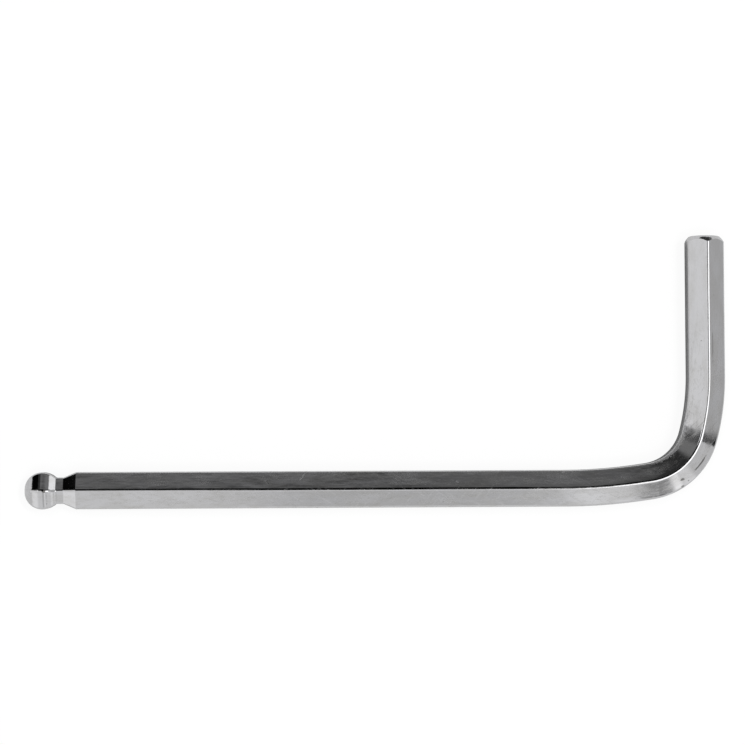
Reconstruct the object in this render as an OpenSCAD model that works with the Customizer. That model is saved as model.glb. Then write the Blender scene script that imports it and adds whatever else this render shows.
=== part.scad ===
// Ball-end hex key: one hexagonal steel bar bent to an L, with a ball end on the long arm.
// It lies on two corner lines of the bar, with the long arm along X, the ball at -X and the
// short arm towards +Y. The origin is on the table, under the middle of the key's box.

/* [Bar] */
// Width of the bar across its flats
across_flats = 4; // [3:0.5:8]
// How far each corner of the hexagon is rounded off, measured towards the bar's axis
corner_trim = 0.06; // [0.02:0.01:0.12]
// Length of the long arm, from the ball's tip to the outer face of the short arm
long_arm_l = 76.5; // [60:0.5:200]
// Length of the short arm, from its end to the outer face of the long arm
short_arm_l = 29.7; // [28:0.1:60]

/* [Bend] */
// Radius of the bar's axis in the tight middle of the bend
bend_r = 6.7; // [5:0.1:8]
// Radius of the gentle run-in from the long arm
run_in_r = 60; // [20:1:80]
// Angle that the run-in turns through
run_in_a = 9; // [4:1:12]
// Radius of the gentle run-out to the short arm
run_out_r = 26; // [12:1:36]
// Angle that the run-out turns through
run_out_a = 15; // [4:1:18]
// How much narrower the bar gets as it enters the bend, and again in its tight middle
draw_down = 0.02; // [0.01:0.01:0.08]

/* [Ball end] */
// Radius of the ball's outline, as a share of half the width across the flats
ball_share = 1; // [0.9:0.02:1]
// Half the width of the small flat on the ball's tip
tip_half_w = 0.45; // [0.3:0.05:0.9]
// Width of the neck behind the ball, across its flats
neck_w = 2.84; // [2.4:0.02:2.9]
// Distance from the tip to the end of the neck, where the taper starts
neck_end = 4.2; // [3.6:0.1:6]
// Slope of the taper, from the neck up to the full bar
taper_a = 23; // [16:1:40]

/* [Short end] */
// Length of the end's chamfer, where it cuts the corners
chamfer_l = 0.7; // [0.3:0.05:1.2]
// Angle between the chamfer and the arm
chamfer_a = 39; // [25:1:50]

/* [Hidden] */
$fn = 96;

// Section of the bar
across_corners = across_flats / cos(30) - 2 * corner_trim;
corner_share = across_corners / across_flats;
axis_z = across_corners / 2;

// Axes of the two arms
long_axis_y = -short_arm_l / 2 + across_flats / 2;
short_axis_x = long_arm_l / 2 - across_flats / 2;
tip_x = -long_arm_l / 2;
short_end_y = short_arm_l / 2;

// The bend's three arcs, by the direction that the bar's axis has at their ends
heading_in = run_in_a;
heading_out = 90 - run_out_a;
bend_dx = run_in_r * sin(heading_in)
    + bend_r * (sin(heading_out) - sin(heading_in))
    + run_out_r * (1 - sin(heading_out));
bend_x = short_axis_x - bend_dx;
run_in_c = [bend_x, long_axis_y + run_in_r];
bend_c = run_in_c + (run_in_r - bend_r) * [sin(heading_in), -cos(heading_in)];
run_out_c = bend_c + (bend_r - run_out_r) * [sin(heading_out), -cos(heading_out)];
short_start_y = run_out_c[1];
short_straight_l = short_end_y - short_start_y;

// Ball end, measured from the tip along the arm
ball_r = ball_share * across_flats / 2;
ball_x = sqrt(ball_r * ball_r - tip_half_w * tip_half_w);
neck_half = neck_w / 2;
// Reach of the corners where the ball meets the neck, as a share of the neck's half width
neck_corner_share = 1.14;
// Radius of the turned ball that rounds off the corners up to there
ball_corner_r = sqrt(ball_r * ball_r - neck_half * neck_half + pow(neck_corner_share * neck_half, 2));
// How far the rounded corners' taper stays inside the ends of the flats' taper
taper_inset = 0.1;
taper_end = neck_end + (across_flats / 2 - neck_half) / tan(taper_a);
long_straight_end = bend_x - tip_x;
// Angle by which a narrower arc starts inside the wider bar before it
arc_lap_a = 0.3;

// Radius of the short end's flat face
end_r = across_corners / 2 - chamfer_l * tan(chamfer_a);

// Hexagon with one corner up, its corners rounded off by a circle
module bar_section(width = across_flats) {
    intersection() {
        rotate(30)
            circle(d = width / cos(30), $fn = 6);
        circle(d = corner_share * width);
    }
}

// One arc of the bend about its centre, from one direction of the bar's axis to another
module bend_arc(centre, radius, heading_from, heading_to, width) {
    translate([centre[0], centre[1], axis_z])
        rotate(heading_from - 90)
            rotate_extrude(angle = heading_to - heading_from)
                translate([radius, 0])
                    bar_section(width);
}

// Outline that gives a pair of opposite flats its shape: ball, neck, taper and straight bar
module flats_outline() {
    translate([ball_x, 0])
        circle(r = ball_r);
    polygon([
        [ball_x, -neck_half],
        [neck_end, -neck_half],
        [taper_end, -across_flats / 2],
        [long_straight_end, -across_flats / 2],
        [long_straight_end, across_flats / 2],
        [taper_end, across_flats / 2],
        [neck_end, neck_half],
        [ball_x, neck_half]
    ]);
}

// Turned form that rounds off the long arm's corners and cuts the ball's tip flat
module turned_blank() {
    neck_r = corner_share * neck_half;
    rotate([0, 90, 0])
        rotate_extrude()
            intersection() {
                square([across_flats, long_straight_end]);
                union() {
                    translate([0, ball_x])
                        circle(r = ball_corner_r);
                    polygon([
                        [0, ball_x],
                        [neck_r, ball_x],
                        [neck_r, neck_end + taper_inset],
                        [across_corners / 2, taper_end - taper_inset],
                        [across_corners / 2, long_straight_end],
                        [0, long_straight_end]
                    ]);
                }
            }
}

// Space between one pair of opposite flats, turned about the arm
module flats_pair(turn) {
    rotate([turn, 0, 0])
        linear_extrude(2 * across_flats, center = true)
            flats_outline();
}

// Straight part of the long arm, with its flats running on round the ball
module long_arm() {
    translate([tip_x, long_axis_y, axis_z])
        intersection() {
            turned_blank();
            flats_pair(0);
            flats_pair(60);
            flats_pair(120);
        }
}

// Three arcs that run into one another, the tight one in the middle
module bend() {
    side_w = across_flats - draw_down;
    middle_w = side_w - draw_down;
    bend_arc(run_in_c, run_in_r, -arc_lap_a, heading_in, side_w);
    bend_arc(bend_c, bend_r, heading_in - arc_lap_a, heading_out + arc_lap_a, middle_w);
    bend_arc(run_out_c, run_out_r, heading_out, 90 + arc_lap_a, side_w);
}

// Straight part of the short arm, its end chamfered all round
module short_arm() {
    translate([short_axis_x, short_end_y, axis_z])
        rotate([90, 0, 0])
            intersection() {
                linear_extrude(short_straight_l)
                    bar_section();
                cylinder(h = short_straight_l, r1 = end_r, r2 = end_r + short_straight_l * tan(chamfer_a));
            }
}

module hex_key() {
    color("silver") {
        long_arm();
        bend();
        short_arm();
    }
}

hex_key();
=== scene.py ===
"""Dresses the ball-end hex key: one bright plated hexagonal bar, lying on a pale studio floor.

The bar is swept along its own axis with its corners, its ball, neck and taper, its compound bend
and its end chamfer. The finish is bright plate with drawn lines, handling scratches and specks.
"""

import logging
import math
from dataclasses import dataclass, replace
from enum import Enum
from typing import Union

import bpy
from mathutils import Matrix, Vector


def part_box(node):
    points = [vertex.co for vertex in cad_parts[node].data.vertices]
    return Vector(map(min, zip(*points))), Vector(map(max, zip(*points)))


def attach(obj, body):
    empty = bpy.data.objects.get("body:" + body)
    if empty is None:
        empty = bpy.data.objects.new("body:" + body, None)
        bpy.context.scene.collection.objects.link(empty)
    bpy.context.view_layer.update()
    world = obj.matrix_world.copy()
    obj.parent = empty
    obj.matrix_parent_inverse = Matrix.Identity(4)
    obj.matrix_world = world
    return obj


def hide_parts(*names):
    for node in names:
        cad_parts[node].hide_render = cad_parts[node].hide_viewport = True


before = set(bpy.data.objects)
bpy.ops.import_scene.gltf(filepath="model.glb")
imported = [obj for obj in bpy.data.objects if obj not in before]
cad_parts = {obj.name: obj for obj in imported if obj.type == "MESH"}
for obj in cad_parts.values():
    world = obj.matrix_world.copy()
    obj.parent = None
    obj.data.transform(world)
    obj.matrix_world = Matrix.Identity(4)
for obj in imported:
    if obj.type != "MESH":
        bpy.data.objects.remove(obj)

MM = 0.001
NODE = "hex_key"
LOG = logging.getLogger("hex_key")
WHITE = (1.0, 1.0, 1.0, 1.0)

# Sides of the bar's section, the angle that each spans, and a face's reach as a share of a corner's
SIDES = 6
SIDE_TURN = 360 / SIDES
FLAT_SHARE = math.cos(math.radians(SIDE_TURN / 2))

# Chamfer share of a ring that the chamfer leaves as it is
UNCUT = -1.0

# What may feed a node's input
Source = Union["Value", bpy.types.NodeSocket, bool, float, str, tuple]


def direction(degrees: float) -> Vector:
    """Unit vector at an angle from the first axis towards the second."""
    return Vector((math.cos(math.radians(degrees)), math.sin(math.radians(degrees)), 0.0))


class Tree:
    """A node tree, with methods that add its nodes and link them."""

    def __init__(self, tree: bpy.types.NodeTree) -> None:
        """Wraps a shader or geometry tree and empties it."""
        self.tree = tree
        tree.nodes.clear()

    def add(self, kind: str, settings: dict | None = None, sockets: dict | None = None) -> bpy.types.Node:
        """Adds a node, sets its options first and then its sockets.

        Args:
            kind: The node's Blender type.
            settings: Options of the node, such as a Math node's operation.
            sockets: Values, links or wrapped values, by the input's name or number.

        Returns:
            The new node.
        """
        node = self.tree.nodes.new(kind)
        for name, value in (settings or {}).items():
            setattr(node, name, value)
        for name, value in (sockets or {}).items():
            self.feed(node.inputs[name], value)
        return node

    def feed(self, socket: bpy.types.NodeSocket, value: Source) -> None:
        """Links or sets one input.

        Args:
            socket: The input to feed.
            value: A wrapped value, a socket or a plain value.
        """
        if isinstance(value, Value):
            value = value.socket
        if isinstance(value, bpy.types.NodeSocket):
            self.tree.links.new(value, socket)
        else:
            socket.default_value = value

    def value(
        self, kind: str, settings: dict | None = None, sockets: dict | None = None, out: str | int = 0
    ) -> "Value":
        """Adds a node in the same way and wraps one of its outputs, by name or number, for maths."""
        return Value(self, self.add(kind, settings, sockets).outputs[out])

    def vector(self, operation: str, *operands: Source, out: str | int = 0) -> "Value":
        """Adds a Vector Math node on one vector or two and wraps one of its outputs."""
        return self.value("ShaderNodeVectorMath", {"operation": operation}, dict(enumerate(operands)), out)

    def scaled(self, vector: Source, factor: Source) -> "Value":
        """Adds a Vector Math node that scales a vector by a number."""
        return self.value("ShaderNodeVectorMath", {"operation": "SCALE"}, {0: vector, "Scale": factor})


class Value:
    """An output in a node tree, most often a number, that takes Python's operators."""

    def __init__(self, tree: Tree, socket: bpy.types.NodeSocket) -> None:
        """Wraps an output socket of a tree."""
        self.tree = tree
        self.socket = socket

    def math(self, operation: str, *others: Source, swap: bool = False) -> "Value":
        """Adds a Math node on this value.

        Args:
            operation: The Math node's operation.
            others: Its further operands.
            swap: Whether this value is the last operand.

        Returns:
            The wrapped result.
        """
        operands = [*others, self] if swap else [self, *others]
        return self.tree.value("ShaderNodeMath", {"operation": operation}, dict(enumerate(operands)))

    def __add__(self, other: Source) -> "Value":
        """Sum."""
        return self.math("ADD", other)

    __radd__ = __add__

    def __sub__(self, other: Source) -> "Value":
        """Difference."""
        return self.math("SUBTRACT", other)

    def __rsub__(self, other: Source) -> "Value":
        """Difference from a plain number."""
        return self.math("SUBTRACT", other, swap=True)

    def __mul__(self, other: Source) -> "Value":
        """Product."""
        return self.math("MULTIPLY", other)

    __rmul__ = __mul__

    def __truediv__(self, other: Source) -> "Value":
        """Quotient."""
        return self.math("DIVIDE", other)

    def between(self, low: float, high: float) -> "Value":
        """Rises smoothly from 0 at low to 1 at high, or falls where low is above high.

        Args:
            low: Where the result is 0.
            high: Where the result is 1.

        Returns:
            The wrapped share.
        """
        down = low > high
        limits = {"Value": self, "From Min": min(low, high), "From Max": max(low, high)}
        limits.update({"To Min": 1.0 if down else 0.0, "To Max": 0.0 if down else 1.0})
        return self.tree.value("ShaderNodeMapRange", {"interpolation_type": "SMOOTHSTEP"}, limits)

    def mix(self, low: float, high: float) -> "Value":
        """Blends two plain numbers by this share, from the first at 0 to the second at 1."""
        return self * (high - low) + low


class Lay(Enum):
    """Direction of a set of marks, in degrees from the bar's length towards its growing girth."""

    DRAWN = 0.0
    SLANTED = 34.0
    CROSSED = -58.0


@dataclass(frozen=True)
class Marks:
    """One set of fine straight marks on the plate. Sizes are in mm; fewer show with a higher limit."""

    lay: Lay
    length: float
    width: float
    limit: float
    seed: float


@dataclass(frozen=True)
class Nick:
    """One mark by itself, by its place on the bar in mm: along it from the tip, and round its girth.

    The dark share makes a mark stained, and on the ball's crest it paints a dark reflection. A scuff is dull,
    and each is given as a share. The turn is in degrees.
    """

    along: float
    girth: float
    length: float
    width: float
    turn: float = 0.0
    stain_and_painted_reflection: float = 0.0
    scuff: float = 0.0


@dataclass(frozen=True)
class Pattern:
    """Noise over the plate, by its cells per mm along and round the bar and its shift.

    With limits it fades from 0 to 1 between the two, and otherwise it is about 0.5 in the middle.
    """

    along: float
    across: float
    seed: float
    limits: tuple[float, float] | None = None


@dataclass(frozen=True)
class BrightPlate:
    """Bright plate over a drawn bar: drawn lines, handling scratches, specks, nicks, a painted dark
    reflection on the ball's crest and a faint haze.

    Places along the bar are in mm from its tip and heights are in mm. The other amounts are shares.
    """

    name: str = "bright_plate"

    # Clean plate, the film on it, and stains, whose dark colour also paints a dark reflection on the ball's
    # crest
    colour: tuple[float, float, float] = (0.70, 0.70, 0.715)
    film_colour: tuple[float, float, float] = (0.615, 0.61, 0.605)
    stain_and_painted_reflection_colour: tuple[float, float, float] = (0.13, 0.125, 0.12)

    # Patterns of the drawn lines, the film, the haze's fine and wide parts, and the uneven surface
    drawn: Pattern = Pattern(0.12, 16.0, 0.0)
    film: Pattern = Pattern(0.35, 0.8, 40.0, (0.35, 0.68))
    grain: Pattern = Pattern(1.3, 3.5, 60.0, (0.46, 0.72))
    cloud: Pattern = Pattern(0.22, 0.5, 85.0, (0.42, 0.62))
    ripple: Pattern = Pattern(0.35, 0.9, 7.0)
    chatter: Pattern = Pattern(1.0, 0.22, 70.0)

    # How much each tints the plate
    film_tint: float = 0.55
    grain_tint: float = 0.45
    speck_tint: float = 0.5

    # Roughness of the clean plate, and what each adds to it
    polish: float = 0.045
    film_roughness: float = 0.05
    drawn_roughness: float = 0.03
    scratch_roughness: float = 0.08
    speck_roughness: float = 0.22

    # How high the uneven surface stands, and how deep specks and stains lie
    ripple_height: float = 0.012
    chatter_height: float = 0.003
    drawn_height: float = 0.001
    pit_depth: float = 0.003

    # Roughness of dulled plate, and how much of it each brings
    dull_roughness: float = 0.72
    haze: float = 0.34
    scratch_haze: float = 0.09
    speck_haze: float = 0.30

    # Where handling starts behind the ball, where the short arm gets cleaner, and where chatter starts
    ball_end: tuple[float, float] = (4.0, 12.0)
    clean_arm: tuple[float, float] = (91.0, 82.0)
    clean_share: float = 0.3
    pressed_end: tuple[float, float] = (86.0, 90.0)

    # Length round the bar in mm, and where the haze fades off towards a corner, in widths of a face
    girth: float = 13.605
    rubbed: tuple[float, float] = (0.09, 0.20)

    # Scratches, the softness of their edges, and the patches that they are gathered in
    scratches: tuple[Marks, ...] = (
        Marks(Lay.SLANTED, 2.6, 0.20, 0.66, 3.0),
        Marks(Lay.CROSSED, 2.0, 0.18, 0.70, 11.0),
        Marks(Lay.DRAWN, 5.0, 0.16, 0.70, 23.0),
    )
    scratch_edge: float = 0.06
    scratch_patch: Pattern = Pattern(0.10, 0.30, 0.0, (0.42, 0.60))

    # Specks by their cells per mm, shift, radius in cells, and share of the cells that has none
    speck_cells: float = 0.75
    speck_seed: float = 5.0
    speck_radius: tuple[float, float] = (0.075, 0.04)
    speck_free: tuple[float, float] = (0.55, 0.6)

    # Single marks, the noise that makes their edges uneven, and where an edge starts and ends
    nicks: tuple[Nick, ...] = (
        # The first nick paints a dark reflection along the ball's crest, given as a stained mark
        Nick(2.2, 7.05, 0.6, 0.3, stain_and_painted_reflection=1.0),
        Nick(71.2, 8.25, 0.50, 0.38, 20.0, stain_and_painted_reflection=0.8),
        Nick(70.9, 9.05, 0.40, 0.28, stain_and_painted_reflection=0.7),
        Nick(73.45, 8.47, 2.4, 0.28, 4.0, stain_and_painted_reflection=0.85),
        Nick(86.0, 7.5, 4.8, 0.18, stain_and_painted_reflection=0.45),
        Nick(30.1, 5.3, 1.9, 0.13, -58.0, scuff=0.6),
        Nick(26.0, 5.9, 0.35, 0.25, scuff=0.5),
        Nick(26.5, 4.85, 0.35, 0.25, scuff=0.5),
        Nick(46.8, 6.1, 0.45, 0.25, 30.0, scuff=0.55),
        Nick(58.5, 4.95, 0.45, 0.30, scuff=0.55),
        Nick(73.3, 4.80, 12.0, 0.85, scuff=0.8),
    )
    nick_noise: Pattern = Pattern(2.5, 7.0, 90.0)
    nick_unevenness: float = 1.6
    nick_edge: tuple[float, float] = (1.0, 0.5)

    def material(self) -> bpy.types.Material:
        """Builds the finish from each point's place on the bar, as if the bar were straight.

        Returns:
            The material.
        """
        material = bpy.data.materials.new(self.name)
        material.use_nodes = True
        tree = Tree(material.node_tree)
        place = tree.value("ShaderNodeAttribute", {"attribute_name": "bar_place"}, out="Vector")
        skin = tree.value("ShaderNodeAttribute", {"attribute_name": "bar_skin"}, out="Vector")
        along = tree.value("ShaderNodeSeparateXYZ", None, {0: place}) / MM
        worn = along.between(*self.clean_arm).mix(self.clean_share, 1.0)
        handled = along.between(*self.ball_end) * worn
        scratch = self._scratches(tree, place, skin) * handled
        speck = self._specks(tree, place) * worn
        # Stained marks, one of them a painted dark reflection on the ball's crest, and dull scuffs
        stain_and_painted_reflection, scuff = self._nicks(tree, skin)
        drawn = self._noise(tree, place, self.drawn)
        film = self._noise(tree, place, self.film)
        grain = self._noise(tree, place, self.grain) * worn
        cloud = self._noise(tree, place, self.cloud)
        ripple = self._noise(tree, place, self.ripple)
        chatter = self._noise(tree, skin, self.chatter) * along.between(*self.pressed_end)

        tint = (film * self.film_tint + grain * self.grain_tint).math("MINIMUM", 1.0)
        colour = self._blend(tree, tint, (*self.colour, 1.0), (*self.film_colour, 1.0))
        # Darkens the plate by stains, specks and the painted dark reflection on the ball's crest
        dark = (stain_and_painted_reflection + speck * self.speck_tint).math("MINIMUM", 1.0)
        colour = self._blend(tree, dark, colour, (*self.stain_and_painted_reflection_colour, 1.0))

        roughness = self.polish + film * self.film_roughness + drawn * self.drawn_roughness
        roughness = roughness + scratch * self.scratch_roughness + speck * self.speck_roughness

        height = ripple * self.ripple_height + chatter * self.chatter_height + drawn * self.drawn_height
        height = height - (speck + stain_and_painted_reflection) * self.pit_depth
        bump = tree.value("ShaderNodeBump", None, {"Strength": 1.0, "Distance": MM, "Height": height})

        haze = (grain + cloud) * handled * self._off_corners(tree, skin) * (self.haze / 2)
        dulled = haze + scratch * self.scratch_haze + speck * self.speck_haze + scuff
        bright = self._metal(tree, colour, roughness, bump)
        dull = self._metal(tree, colour, self.dull_roughness, bump)
        sockets = {0: dulled.math("MINIMUM", 1.0), 1: bright, 2: dull}
        surface = tree.value("ShaderNodeMixShader", None, sockets)
        tree.add("ShaderNodeOutputMaterial", None, {"Surface": surface})
        return material

    def _blend(self, tree: Tree, share: Value, first: Source, second: Source) -> Value:
        """Blends two colours, from the first at a share of 0 to the second at 1."""
        sockets = {"Factor": share, "A": first, "B": second}
        return tree.value("ShaderNodeMix", {"data_type": "RGBA"}, sockets, out="Result")

    def _metal(self, tree: Tree, colour: Value, roughness: Source, bump: Value) -> Value:
        """Bare metal of a colour and roughness, with its surface direction from a bump."""
        sockets = {"Base Color": colour, "Metallic": 1.0, "Roughness": roughness, "Normal": bump}
        return tree.value("ShaderNodeBsdfPrincipled", None, sockets)

    def _turned(self, tree: Tree, place: Value, degrees: float) -> Value:
        """Turns coordinates about the bar's height, so that marks lie at an angle to its length."""
        sockets = {"Vector": place, "Angle": -math.radians(degrees)}
        return tree.value("ShaderNodeVectorRotate", {"rotation_type": "Z_AXIS"}, sockets)

    def _laid(self, tree: Tree, place: Value, along: float, across: float, turn: float, seed: float) -> Value:
        """Turns the bar's coordinates about its height and scales them for a pattern.

        Args:
            tree: The tree to build in.
            place: The bar's coordinates in metres.
            along: Pattern cells per mm along the marks.
            across: Pattern cells per mm across the marks.
            turn: Angle of the marks from the bar's length, in degrees.
            seed: Shift that sets this pattern apart from the others.

        Returns:
            The wrapped vector.
        """
        turned = self._turned(tree, place, turn)
        scaled = tree.vector("MULTIPLY", turned, (along / MM, across / MM, across / MM))
        return tree.vector("ADD", scaled, (seed, seed, 0.0))

    def _noise(self, tree: Tree, place: Value, pattern: Pattern) -> Value:
        """Noise stretched along the bar.

        Args:
            tree: The tree to build in.
            place: The bar's coordinates in metres.
            pattern: The noise's cells, shift and limits.

        Returns:
            The wrapped noise, or its share between the limits.
        """
        laid = self._laid(tree, place, pattern.along, pattern.across, 0.0, pattern.seed)
        noise = tree.value("ShaderNodeTexNoise", None, {"Vector": laid, "Scale": 1.0, "Detail": 2.0})
        return noise.between(*pattern.limits) if pattern.limits else noise

    def _off_corners(self, tree: Tree, skin: Value) -> Value:
        """Share that falls to 0 at the bar's corners and is 1 on the middle of its faces.

        Args:
            tree: The tree to build in.
            skin: Place along the bar and round its girth, in metres.

        Returns:
            The wrapped share.
        """
        girth = tree.value("ShaderNodeSeparateXYZ", None, {0: skin}, out="Y") / MM
        from_corner = (girth * (SIDES / self.girth)).math("PINGPONG", 0.5)
        return from_corner.between(*self.rubbed)

    def _strongest(self, layers: list[Value]) -> Value:
        """The strongest of several layers of marks at each place.

        Args:
            layers: The wrapped layers, one or more.

        Returns:
            The wrapped maximum.
        """
        total = layers[0]
        for layer in layers[1:]:
            total = total.math("MAXIMUM", layer)
        return total

    def _scratches(self, tree: Tree, place: Value, skin: Value) -> Value:
        """Fine straight scratches in several directions, gathered in patches.

        Args:
            tree: The tree to build in.
            place: The bar's coordinates in metres.
            skin: Place along the bar and round its girth, in metres.

        Returns:
            The wrapped depth, from 0 to 1.
        """
        layers = []
        for marks in self.scratches:
            laid = self._laid(tree, skin, 1 / marks.length, 1 / marks.width, marks.lay.value, marks.seed)
            streak = tree.value("ShaderNodeTexNoise", None, {"Vector": laid, "Scale": 1.0, "Detail": 0.0})
            line = streak.between(marks.limit - self.scratch_edge, marks.limit + self.scratch_edge)
            patch = self._noise(tree, place, replace(self.scratch_patch, seed=marks.seed))
            layers.append(line * patch)
        return self._strongest(layers)

    def _nicks(self, tree: Tree, skin: Value) -> tuple[Value, Value]:
        """The single marks that are placed one by one, with uneven edges.

        Args:
            tree: The tree to build in.
            skin: Place along the bar and round its girth, in metres.

        Returns:
            The wrapped shares of stained marks, with the painted dark reflection on the ball's crest, and of
            scuff, from 0 to 1.
        """
        uneven = (self._noise(tree, skin, self.nick_noise) - 0.5) * self.nick_unevenness
        stains_and_painted_reflection = []
        scuffs = []
        for nick in self.nicks:
            away = tree.vector("SUBTRACT", skin, (nick.along * MM, nick.girth * MM, 0.0))
            turned = self._turned(tree, away, nick.turn)
            spread = tree.vector("MULTIPLY", turned, (2 / nick.length / MM, 2 / nick.width / MM, 0.0))
            distance = tree.vector("LENGTH", spread, out="Value")
            shape = (distance + uneven).between(*self.nick_edge)
            if nick.stain_and_painted_reflection:
                stains_and_painted_reflection.append(shape * nick.stain_and_painted_reflection)
            if nick.scuff:
                scuffs.append(shape * nick.scuff)
        return self._strongest(stains_and_painted_reflection), self._strongest(scuffs)

    def _specks(self, tree: Tree, place: Value) -> Value:
        """Small dull specks, a few to the centimetre.

        Args:
            tree: The tree to build in.
            place: The bar's coordinates in metres.

        Returns:
            The wrapped depth, from 0 to 1.
        """
        laid = self._laid(tree, place, self.speck_cells, self.speck_cells, 0.0, self.speck_seed)
        voronoi = tree.add("ShaderNodeTexVoronoi", {"feature": "F1"}, {"Vector": laid, "Scale": 1.0})
        dot = Value(tree, voronoi.outputs["Distance"]).between(*self.speck_radius)
        chance = tree.value("ShaderNodeSeparateColor", None, {"Color": voronoi.outputs["Color"]}, out="Red")
        return dot * chance.between(*self.speck_free)


@dataclass
class Station:
    """One ring of the bar: where its middle is, and its width as a share of the full bar's.

    The chamfer share is 0 where the chamfer starts, 1 where it ends, and more on the flat face.
    """

    place: Vector
    width_share: float
    chamfer_share: float = UNCUT


@dataclass
class HexBar:
    """The whole key, with the methods that sweep it and dress it. Sizes are in mm, angles in degrees."""

    # Section
    across_flats: float = 4.0
    corner_trim: float = 0.06

    # Bend
    bend_r: float = 6.7
    run_in_r: float = 60.0
    run_in_a: float = 9.0
    run_out_r: float = 26.0
    run_out_a: float = 15.0

    # Ball end
    tip_half_w: float = 0.45
    tip_fillet: float = 0.4
    neck_w: float = 2.84
    neck_fillet: float = 0.4
    neck_end: float = 4.2
    taper_a: float = 23.0
    taper_edge_r: float = 0.12

    # Short end
    chamfer_l: float = 0.7
    chamfer_a: float = 39.0
    end_edge: float = 0.28

    # Steps round a corner and along a face, and the strip of a face beside a corner
    corner_steps: int = 8
    flat_steps: int = 8
    edge_strip: float = 0.03

    # Angle between rings in the bend and on the ball, and the rings of the tip, the chamfer and before it
    bend_step: float = 1.5
    ball_step: float = 5.0
    tip_shares: tuple[float, ...] = (0.02, 0.5)
    chamfer_steps: int = 5
    chamfer_lead: float = 1.6

    # Angle between faces from which their edge is sharp
    sharp_angle: float = 28.0

    def __post_init__(self) -> None:
        """Reads the key's outer size from the frame and works out the axes of its arms."""
        low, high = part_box(NODE)
        self.tip_x = low[0] / MM
        self.short_end_y = high[1] / MM
        self.half_w = self.across_flats / 2
        self.corner_r = self.corner_trim / (1 / FLAT_SHARE - 1)
        self.axis_z = (self.across_flats / FLAT_SHARE - 2 * self.corner_trim) / 2
        self.long_axis_y = low[1] / MM + self.half_w
        self.short_axis_x = high[0] / MM - self.half_w
        self.end_r = self.axis_z - self.chamfer_l * math.tan(math.radians(self.chamfer_a))

    def build(self, material: bpy.types.Material) -> bpy.types.Object:
        """Sweeps the bar's section along its axis as one closed mesh.

        Args:
            material: The bar's finish.

        Returns:
            The finished key.
        """
        section = self._section_object()
        path = self._path_object()
        tree = self._sweep_tree()
        modifier = path.modifiers.new("sweep", "NODES")
        modifier.node_group = tree
        values = {
            "Section": section,
            "Material": material,
            "Short end": self._point(self.short_axis_x, self.short_end_y),
            "Short arm": Vector((0.0, 1.0, 0.0)),
            "End radius": self.end_r * MM,
            "Chamfer run": 1 / math.tan(math.radians(self.chamfer_a)),
            "End edge": self.end_edge * MM,
        }
        for item in tree.interface.items_tree:
            if item.name in values:
                modifier[item.identifier] = values[item.name]
        bpy.context.view_layer.update()
        evaluated = path.evaluated_get(bpy.context.evaluated_depsgraph_get())
        mesh = bpy.data.meshes.new_from_object(evaluated)
        key = bpy.data.objects.new("bent_hex_bar", mesh)
        bpy.context.scene.collection.objects.link(key)
        for helper in (path, section):
            bpy.data.objects.remove(helper)
        mesh.shade_smooth()
        mesh.set_sharp_from_angle(angle=math.radians(self.sharp_angle))
        return key

    def _point(self, x: float, y: float) -> Vector:
        """The point in metres that lies at x and y, in mm, on the plane of the key's axis."""
        return Vector((x, y, self.axis_z)) * MM

    def _section_outline(self) -> list[Vector]:
        """Outline of the bar: a hexagon, one corner up, with round corners and a narrow strip beside each.

        Returns:
            Points in metres, in order round the section.
        """
        side = (self.half_w - self.corner_r) / FLAT_SHARE
        points = []
        for corner in range(SIDES):
            middle = 90 + SIDE_TURN * corner
            centre = direction(middle) * side
            for step in range(self.corner_steps + 1):
                angle = middle - SIDE_TURN / 2 + SIDE_TURN * step / self.corner_steps
                points.append(centre + direction(angle) * self.corner_r)
            way = direction(middle + SIDE_TURN / 2 + 90)
            start = points[-1]
            for step in range(self.flat_steps + 1):
                run = self.edge_strip + (side - 2 * self.edge_strip) * step / self.flat_steps
                points.append(start + way * run)
        return [point * MM for point in points]

    def _section_object(self) -> bpy.types.Object:
        """Makes the section as a closed loop of edges.

        Returns:
            The helper object.
        """
        points = self._section_outline()
        edges = [(i, (i + 1) % len(points)) for i in range(len(points))]
        mesh = bpy.data.meshes.new("bar_section")
        mesh.from_pydata(points, edges, [])
        helper = bpy.data.objects.new("bar_section", mesh)
        bpy.context.scene.collection.objects.link(helper)
        return helper

    def _path_object(self) -> bpy.types.Object:
        """Makes the bar's axis as a chain of edges with each ring's width and chamfer share.

        Returns:
            The helper object.
        """
        stations = self._long_arm() + self._bend() + self._short_arm()
        mesh = bpy.data.meshes.new("bar_axis")
        mesh.from_pydata([s.place for s in stations], [(i, i + 1) for i in range(len(stations) - 1)], [])
        width = mesh.attributes.new("width_share", "FLOAT", "POINT")
        width.data.foreach_set("value", [s.width_share for s in stations])
        chamfer = mesh.attributes.new("chamfer_share", "FLOAT", "POINT")
        chamfer.data.foreach_set("value", [s.chamfer_share for s in stations])
        helper = bpy.data.objects.new("bar_axis", mesh)
        bpy.context.scene.collection.objects.link(helper)
        return helper

    def _arc(
        self, centre: tuple[float, float], radius: float, start: float, end: float, step: float
    ) -> list[tuple[float, float]]:
        """Points on an arc.

        Args:
            centre: The arc's centre.
            radius: Its radius.
            start: Angle of the first point, in degrees.
            end: Angle of the last point, in degrees.
            step: Largest angle between points, in degrees.

        Returns:
            Pairs of coordinates, both ends included.
        """
        count = max(2, math.ceil(abs(end - start) / step))
        angles = [math.radians(start + (end - start) * i / count) for i in range(count + 1)]
        return [(centre[0] + radius * math.cos(a), centre[1] + radius * math.sin(a)) for a in angles]

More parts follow.
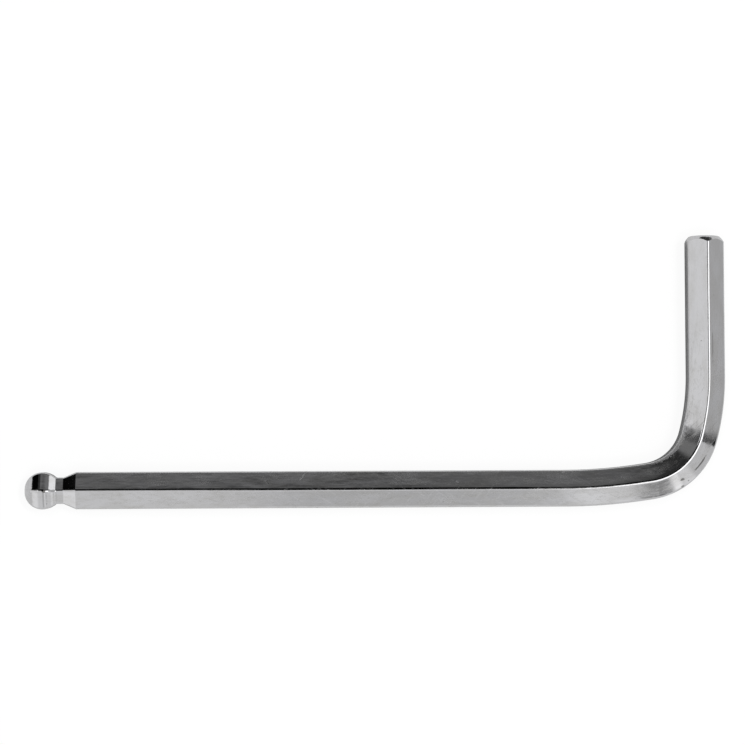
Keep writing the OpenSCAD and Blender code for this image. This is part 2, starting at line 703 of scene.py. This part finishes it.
    def _long_outline(self) -> list[tuple[float, float]]:
        """Half width of the ball, neck and taper by the distance from the tip, with blended edges.

        Returns:
            Pairs of distance and half width, in mm.
        """
        ball_r = self.half_w
        ball_x = math.sqrt(ball_r**2 - self.tip_half_w**2)
        neck = self.neck_w / 2
        tip_y = math.sqrt((ball_r - self.tip_fillet) ** 2 - (ball_x - self.tip_fillet) ** 2)
        tip_end = math.degrees(math.atan2(tip_y, self.tip_fillet - ball_x))
        waist_y = neck + self.neck_fillet
        waist_x = ball_x + math.sqrt((ball_r + self.neck_fillet) ** 2 - waist_y**2)
        waist_start = math.degrees(math.atan2(waist_y, waist_x - ball_x))
        tangent = self.neck_fillet * math.tan(math.radians(self.taper_a / 2))
        edge = self.taper_edge_r * math.tan(math.radians(self.taper_a / 2))
        taper_end = self.neck_end + (self.half_w - neck) / math.tan(math.radians(self.taper_a))
        neck_centre = (self.neck_end - tangent, waist_y)
        edge_centre = (taper_end + edge, self.half_w - self.taper_edge_r)
        step = self.ball_step
        outline = [(0.0, tip_y * share) for share in self.tip_shares]
        outline += self._arc((self.tip_fillet, tip_y), self.tip_fillet, 180, tip_end, step)
        outline += self._arc((ball_x, 0), ball_r, tip_end, waist_start, step)[1:]
        outline += self._arc((waist_x, waist_y), self.neck_fillet, waist_start - 180, -90, step)[1:]
        outline += self._arc(neck_centre, self.neck_fillet, -90, self.taper_a - 90, step)
        outline += self._arc(edge_centre, self.taper_edge_r, self.taper_a + 90, 90, step)
        return outline

    def _long_arm(self) -> list[Station]:
        """Rings of the ball end and of the long arm's straight part.

        Returns:
            The rings, from the tip on.
        """
        rings = []
        for distance, half in self._long_outline():
            rings.append(Station(self._point(self.tip_x + distance, self.long_axis_y), half / self.half_w))
        return rings

    def _bend(self) -> list[Station]:
        """Rings of the bend's three arcs.

        Returns:
            The rings, from the long arm on.
        """
        heading_in = math.radians(self.run_in_a)
        heading_out = math.radians(90 - self.run_out_a)
        reach = self.run_in_r * math.sin(heading_in)
        reach += self.bend_r * (math.sin(heading_out) - math.sin(heading_in))
        reach += self.run_out_r * (1 - math.sin(heading_out))
        first = (self.short_axis_x - reach, self.long_axis_y + self.run_in_r)
        inner = self.run_in_r - self.bend_r
        middle = (first[0] + inner * math.sin(heading_in), first[1] - inner * math.cos(heading_in))
        outer = self.bend_r - self.run_out_r
        last = (middle[0] + outer * math.sin(heading_out), middle[1] - outer * math.cos(heading_out))
        points = self._arc(first, self.run_in_r, -90, self.run_in_a - 90, self.bend_step)
        points += self._arc(middle, self.bend_r, self.run_in_a - 90, -self.run_out_a, self.bend_step)[1:]
        points += self._arc(last, self.run_out_r, -self.run_out_a, 0, self.bend_step)[1:]
        return [Station(self._point(*point), 1.0) for point in points]

    def _short_arm(self) -> list[Station]:
        """Rings of the short arm's straight end, its chamfer and the round edge of its flat face.

        Returns:
            The rings, up to the end's middle.
        """
        start = self.short_end_y - self.chamfer_lead * self.chamfer_l
        rings = [Station(self._point(self.short_axis_x, start), 1.0)]
        for step in range(2 * self.chamfer_steps):
            share = step / self.chamfer_steps
            y = self.short_end_y - self.chamfer_l * (1 - share)
            rings.append(Station(self._point(self.short_axis_x, y), 1.0, share))
        return rings

    def _sweep_tree(self) -> bpy.types.NodeTree:
        """Builds the node tree that sweeps the section and cuts the short end's chamfer.

        Returns:
            The geometry tree.
        """
        group = bpy.data.node_groups.new("bent_bar_sweep", "GeometryNodeTree")
        group.interface.new_socket("Geometry", in_out="OUTPUT", socket_type="NodeSocketGeometry")
        for name, kind in (
            ("Geometry", "NodeSocketGeometry"),
            ("Section", "NodeSocketObject"),
            ("Material", "NodeSocketMaterial"),
            ("Short end", "NodeSocketVector"),
            ("Short arm", "NodeSocketVector"),
            ("End radius", "NodeSocketFloat"),
            ("Chamfer run", "NodeSocketFloat"),
            ("End edge", "NodeSocketFloat"),
        ):
            group.interface.new_socket(name, in_out="INPUT", socket_type=kind)
        tree = Tree(group)
        inputs = tree.add("NodeGroupInput").outputs
        axis = tree.add("GeometryNodeMeshToCurve", None, {"Mesh": inputs["Geometry"]})
        upright = tree.add("GeometryNodeSetCurveNormal", {"mode": "Z_UP"}, {"Curve": axis.outputs[0]})
        curve = upright.outputs[0]
        tangent = tree.value("GeometryNodeInputTangent")
        for name, data_type, source in (
            ("axis_point", "FLOAT_VECTOR", tree.value("GeometryNodeInputPosition")),
            ("outward", "FLOAT_VECTOR", tree.vector("CROSS_PRODUCT", tangent, (0.0, 0.0, 1.0))),
            ("run", "FLOAT", tree.value("GeometryNodeSplineParameter", out="Length")),
        ):
            curve = self._store(tree, curve, name, data_type, source)
        section = tree.add("GeometryNodeObjectInfo", None, {"Object": inputs["Section"]})
        loop = tree.add("GeometryNodeMeshToCurve", None, {"Mesh": section.outputs["Geometry"]})
        girth = tree.value("GeometryNodeSplineParameter", out="Length")
        profile = self._store(tree, loop.outputs[0], "girth", "FLOAT", girth)
        share = self._attribute(tree, "width_share", "FLOAT")
        sweep = {"Curve": curve, "Profile Curve": profile, "Scale": share, "Fill Caps": True}
        swept = tree.add("GeometryNodeCurveToMesh", None, sweep)
        mesh = self._cut_chamfer(tree, swept.outputs[0], inputs)
        mesh = self._store_bar_place(tree, mesh)
        real = tree.add("GeometryNodeRealizeInstances", None, {"Geometry": mesh})
        finish = {"Geometry": real.outputs[0], "Material": inputs["Material"]}
        dressed = tree.add("GeometryNodeSetMaterial", None, finish)
        tree.add("NodeGroupOutput", None, {"Geometry": dressed.outputs[0]})
        return group

    def _store(
        self, tree: Tree, geometry: bpy.types.NodeSocket, name: str, data_type: str, source: Value
    ) -> bpy.types.NodeSocket:
        """Stores a named value on every point.

        Args:
            tree: The tree to build in.
            geometry: The geometry to store it on.
            name: The attribute's name.
            data_type: The attribute's type.
            source: What is stored.

        Returns:
            The geometry with the attribute.
        """
        settings = {"data_type": data_type, "domain": "POINT"}
        sockets = {"Geometry": geometry, "Name": name, "Value": source}
        return tree.add("GeometryNodeStoreNamedAttribute", settings, sockets).outputs[0]

    def _attribute(self, tree: Tree, name: str, data_type: str) -> Value:
        """Reads a named value of a given type."""
        return tree.value("GeometryNodeInputNamedAttribute", {"data_type": data_type}, {"Name": name})

    def _cut_chamfer(
        self, tree: Tree, mesh: bpy.types.NodeSocket, inputs: bpy.types.NodeOutputs
    ) -> bpy.types.NodeSocket:
        """Draws the last rings in to a cone, from its edge on the flats and corners to the flat end.

        The rings past the cone lie on the flat end, and the edge between the two is rounded.

        Args:
            tree: The tree to build in.
            mesh: The swept bar.
            inputs: The tree's inputs.

        Returns:
            The bar with its chamfer.
        """
        spot = tree.value("GeometryNodeInputPosition")
        axis = self._attribute(tree, "axis_point", "FLOAT_VECTOR")
        share = self._attribute(tree, "chamfer_share", "FLOAT")
        reach = tree.vector("SUBTRACT", spot, axis)
        full = tree.vector("LENGTH", reach, out="Value")
        end_r = Value(tree, inputs["End radius"])
        radius = full + (end_r - full) * share
        cone = (radius - end_r) * Value(tree, inputs["Chamfer run"])
        back = cone.math("SMOOTH_MAX", 0.0, inputs["End edge"])
        sideways = tree.scaled(tree.vector("NORMALIZE", reach), radius)
        lengthways = tree.scaled(inputs["Short arm"], back)
        centre = tree.vector("SUBTRACT", inputs["Short end"], lengthways)
        place = tree.vector("ADD", centre, sideways)
        compare = {"data_type": "FLOAT", "operation": "GREATER_THAN"}
        chosen = tree.value("FunctionNodeCompare", compare, {0: share, 1: UNCUT / 2})
        sockets = {"Geometry": mesh, "Selection": chosen, "Position": place}
        return tree.add("GeometryNodeSetPosition", None, sockets).outputs[0]

    def _store_bar_place(self, tree: Tree, mesh: bpy.types.NodeSocket) -> bpy.types.NodeSocket:
        """Stores each point's place on the bar as if it were straight, in two ways.

        One is along the bar, outwards and up. The other is along it and round its girth.

        Args:
            tree: The tree to build in.
            mesh: The bar.

        Returns:
            The bar with the place stored.
        """
        spot = tree.value("GeometryNodeInputPosition")
        axis = self._attribute(tree, "axis_point", "FLOAT_VECTOR")
        outward = self._attribute(tree, "outward", "FLOAT_VECTOR")
        reach = tree.vector("SUBTRACT", spot, axis)
        out = tree.vector("DOT_PRODUCT", reach, outward, out="Value")
        up = tree.value("ShaderNodeSeparateXYZ", None, {0: reach}, out="Z")
        along = self._attribute(tree, "run", "FLOAT")
        place = tree.value("ShaderNodeCombineXYZ", None, {"X": along, "Y": out, "Z": up})
        mesh = self._store(tree, mesh, "bar_place", "FLOAT_VECTOR", place)
        girth = self._attribute(tree, "girth", "FLOAT")
        skin = tree.value("ShaderNodeCombineXYZ", None, {"X": along, "Y": girth})
        return self._store(tree, mesh, "bar_skin", "FLOAT_VECTOR", skin)


@dataclass(frozen=True)
class Side:
    """A light or dark thing standing round the key, as the plate mirrors it. Angles are in degrees."""

    azimuth: float
    elevation: float
    half_width: float
    half_height: float
    edge: float
    level: float

    def share(self, azimuth: Value, elevation: Value) -> Value:
        """How much of this thing lies in a direction.

        Args:
            azimuth: The direction's angle from the key's +Y towards its +X.
            elevation: Its angle above the floor.

        Returns:
            The wrapped share, from 0 to 1.
        """
        aside = (azimuth - self.azimuth).math("WRAP", 180.0, -180.0).math("ABSOLUTE")
        above = (elevation - self.elevation).math("ABSOLUTE")
        inside = aside.between(self.half_width + self.edge, self.half_width - self.edge)
        return inside * above.between(self.half_height + self.edge, self.half_height - self.edge)


@dataclass(frozen=True)
class Overhead:
    """A light or dark thing hung above the key. Its place and half sizes are parts of the unit circle."""

    x: float
    y: float
    half_x: float
    half_y: float
    edge: float
    lowest: float
    level: float

    def share(self, x: Value, y: Value, z: Value) -> Value:
        """How much of this thing lies in a direction.

        Args:
            x: The direction's part along the key's X.
            y: Its part along Y.
            z: Its part upwards.

        Returns:
            The wrapped share, from 0 to 1.
        """
        aside = (x - self.x).math("ABSOLUTE").between(self.half_x + self.edge, self.half_x - self.edge)
        along = (y - self.y).math("ABSOLUTE").between(self.half_y + self.edge, self.half_y - self.edge)
        return aside * along * z.between(self.lowest - self.edge, self.lowest + self.edge)


@dataclass
class Studio:
    """Pale floor, soft light and the camera above the key. Lengths are in mm, angles in degrees.

    Of the things that the plate mirrors, a later one covers an earlier one.
    """

    # Camera
    camera_place: tuple[float, float, float] = (-13.44, -9.75, 251.87)
    camera_aim: tuple[float, float, float] = (-0.49, -0.10, 2.25)
    camera_roll: float = 0.138
    lens: float = 110.45
    sensor: float = 36.0
    clip: tuple[float, float] = (10.0, 10000.0)

    # Floor: its colour and glow, what the plate mirrors of it, and the shadow under the key
    floor_half: float = 600.0
    floor_white: float = 0.72
    floor_glow: float = 1.03
    mirrored_share: float = 0.4
    mirrored_white: float = 0.6
    shadow_share: float = 0.08
    contact_reach: float = 1.8
    contact_depth: float = 2.2
    contact_samples: int = 6

    # Lamp
    lamp_place: tuple[float, float, float] = (150.0, 40.0, 560.0)
    lamp_size: float = 60.0
    lamp_power: float = 1.6

    # Room: its level behind the key and in front of it, and where along Y the one turns into the other
    back_level: float = 0.114
    front_level: float = 0.72
    level_fade: tuple[float, float] = (0.35, -0.20)

    sides: tuple[Side, ...] = (
        # On the left, for the wide face of the short arm
        Side(-104.0, 10.0, 31.0, 50.0, 0.8, 0.81),
        Side(-140.0, 12.0, 14.0, 12.0, 6.0, 0.91),
        # Behind, for the dark faces of the ball, the long arm and the inside of the bend
        Side(12.0, 23.0, 20.0, 6.2, 1.2, 0.20),
        Side(-8.0, 26.5, 10.0, 4.1, 1.0, 0.17),
        Side(-9.0, 40.4, 13.5, 9.0, 0.8, 0.03),
        Side(-48.0, 30.0, 24.6, 22.0, 1.0, 0.095),
        Side(-52.0, 39.0, 8.0, 6.0, 3.0, 0.20),
        Side(-28.0, 34.0, 13.0, 10.0, 3.0, 0.03),
        Side(-40.0, 10.0, 14.0, 17.0, 2.0, 0.002),
        Side(-3.0, 8.0, 20.0, 9.0, 3.0, 0.04),
        # On the right, for the light band on the ball and the narrow face of the short arm
        Side(47.0, 6.0, 12.0, 18.0, 3.0, 1.05),
        Side(80.0, 18.0, 21.0, 30.0, 1.5, 0.49),
        # In front, for the outside of the bend and the light face of the long arm
        Side(118.0, 20.0, 15.5, 26.0, 1.5, 0.64),
        Side(132.0, 20.0, 4.5, 26.0, 2.0, 0.87),
        Side(103.0, 19.0, 2.4, 10.0, 0.4, 0.01),
        Side(141.0, 26.0, 3.0, 6.0, 1.2, 1.15),
        Side(151.0, 27.5, 5.0, 2.45, 0.4, 0.21),
        Side(158.5, 28.25, 3.0, 1.8, 0.4, 0.21),
        Side(166.5, 34.0, 4.6, 7.0, 0.8, 0.84),
        Side(176.0, 34.0, 5.2, 7.0, 2.0, 0.52),
    )
    overheads: tuple[Overhead, ...] = (
        # Lights on the left and right and dark things between, for the lines along the bar's crests
        Overhead(-0.69, -0.05, 0.23, 0.36, 0.012, 0.40, 2.0),
        Overhead(0.47, -0.16, 0.33, 0.29, 0.012, 0.58, 1.9),
        Overhead(-0.16, 0.48, 0.30, 0.36, 0.02, 0.585, 0.0),
        Overhead(0.06, -0.04, 0.10, 0.18, 0.02, 0.60, 0.0),
    )

    def build(self) -> None:
        """Sets up the camera, the floor, the world, the lamp and the view."""
        self._camera()
        self._floor()
        self._world()
        self._lamp()
        bpy.context.scene.view_settings.view_transform = "Standard"

    def _camera(self) -> None:
        """Places the camera as the photograph's stands, and makes it the scene's."""
        data = bpy.data.cameras.new("camera")
        data.lens = self.lens
        data.sensor_width = self.sensor
        data.clip_start = self.clip[0] * MM
        data.clip_end = self.clip[1] * MM
        camera = bpy.data.objects.new("camera", data)
        place = Vector(self.camera_place) * MM
        back = (place - Vector(self.camera_aim) * MM).normalized()
        up = back.cross(direction(-self.camera_roll)).normalized()
        right = up.cross(back)
        turn = Matrix((right, up, back)).transposed()
        camera.matrix_world = Matrix.Translation(place) @ turn.to_4x4()
        bpy.context.scene.collection.objects.link(camera)
        bpy.context.scene.camera = camera

    def _floor(self) -> None:
        """Lays a white floor that keeps a faint shadow of the key."""
        half = self.floor_half * MM
        corners = [(-half, -half, 0), (half, -half, 0), (half, half, 0), (-half, half, 0)]
        mesh = bpy.data.meshes.new("floor")
        mesh.from_pydata(corners, [], [(0, 1, 2, 3)])
        mesh.materials.append(self._floor_material())
        floor = bpy.data.objects.new("floor", mesh)
        bpy.context.scene.collection.objects.link(floor)

    def _floor_material(self) -> bpy.types.Material:
        """Builds a plain white that glows to the camera, so that only the key's shadow shades it.

        Returns:
            The material.
        """
        material = bpy.data.materials.new("white_floor")
        material.use_nodes = True
        tree = Tree(material.node_tree)
        samples = {"samples": self.contact_samples}
        reach = {"Distance": self.contact_reach * MM}
        open_sky = tree.value("ShaderNodeAmbientOcclusion", samples, reach, out="AO")
        shade = open_sky.math("POWER", self.contact_depth)
        colour = tree.scaled((self.floor_white,) * 3, shade)
        diffuse = tree.value("ShaderNodeBsdfDiffuse", None, {"Color": colour})
        path = tree.add("ShaderNodeLightPath")
        camera = Value(tree, path.outputs["Is Camera Ray"])
        lit = camera.math("MAXIMUM", shade * self.mirrored_white)
        glow = tree.value("ShaderNodeEmission", None, {"Color": WHITE, "Strength": lit * self.floor_glow})
        through = camera.math("MAXIMUM", path.outputs["Is Transmission Ray"])
        mirrored = Value(tree, path.outputs["Is Glossy Ray"]) * self.mirrored_share
        share = (through * (1 - self.shadow_share)).math("MAXIMUM", mirrored)
        surface = tree.value("ShaderNodeMixShader", None, {0: share, 1: diffuse, 2: glow})
        tree.add("ShaderNodeOutputMaterial", None, {"Surface": surface})
        return material

    def _world(self) -> None:
        """Gives the world a white backdrop and the soft, dark and bright sides that the plate mirrors."""
        world = bpy.data.worlds.new("studio")
        world.use_nodes = True
        bpy.context.scene.world = world
        tree = Tree(world.node_tree)
        way = tree.value("ShaderNodeTexCoord", out="Generated")
        parts = tree.add("ShaderNodeSeparateXYZ", None, {0: way})
        x, y, z = (Value(tree, parts.outputs[axis]) for axis in "XYZ")
        azimuth = x.math("ARCTAN2", y).math("DEGREES")
        elevation = z.math("ARCSINE").math("DEGREES")
        level = y.between(*self.level_fade).mix(self.back_level, self.front_level)
        for overhead in self.overheads:
            level = level + overhead.share(x, y, z) * (overhead.level - level)
        for side in self.sides:
            level = level + side.share(azimuth, elevation) * (side.level - level)
        surround = tree.value("ShaderNodeBackground", None, {"Color": WHITE, "Strength": level})
        backdrop = tree.value("ShaderNodeBackground", None, {"Color": WHITE, "Strength": 1.0})
        seen = tree.value("ShaderNodeLightPath", out="Is Camera Ray")
        surface = tree.value("ShaderNodeMixShader", None, {0: seen, 1: surround, 2: backdrop})
        tree.add("ShaderNodeOutputWorld", None, {"Surface": surface})

    def _lamp(self) -> None:
        """Hangs one soft lamp at the back right, which lights the floor and shades it beside the key."""
        data = bpy.data.lights.new("soft_lamp", "AREA")
        data.shape = "DISK"
        data.size = self.lamp_size * MM
        data.energy = self.lamp_power
        lamp = bpy.data.objects.new("soft_lamp", data)
        place = Vector(self.lamp_place) * MM
        lamp.matrix_world = Matrix.Translation(place) @ place.to_track_quat("Z", "Y").to_matrix().to_4x4()
        lamp.visible_glossy = False
        bpy.context.scene.collection.objects.link(lamp)


def main() -> None:
    """Builds the key and its studio, and reports each piece."""
    logging.basicConfig(level=logging.INFO, format="%(message)s")
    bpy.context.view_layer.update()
    key = HexBar().build(BrightPlate().material())
    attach(key, "root")
    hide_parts(NODE)
    LOG.info("%s: %d faces", key.name, len(key.data.polygons))
    Studio().build()


if __name__ == "__main__":
    main()
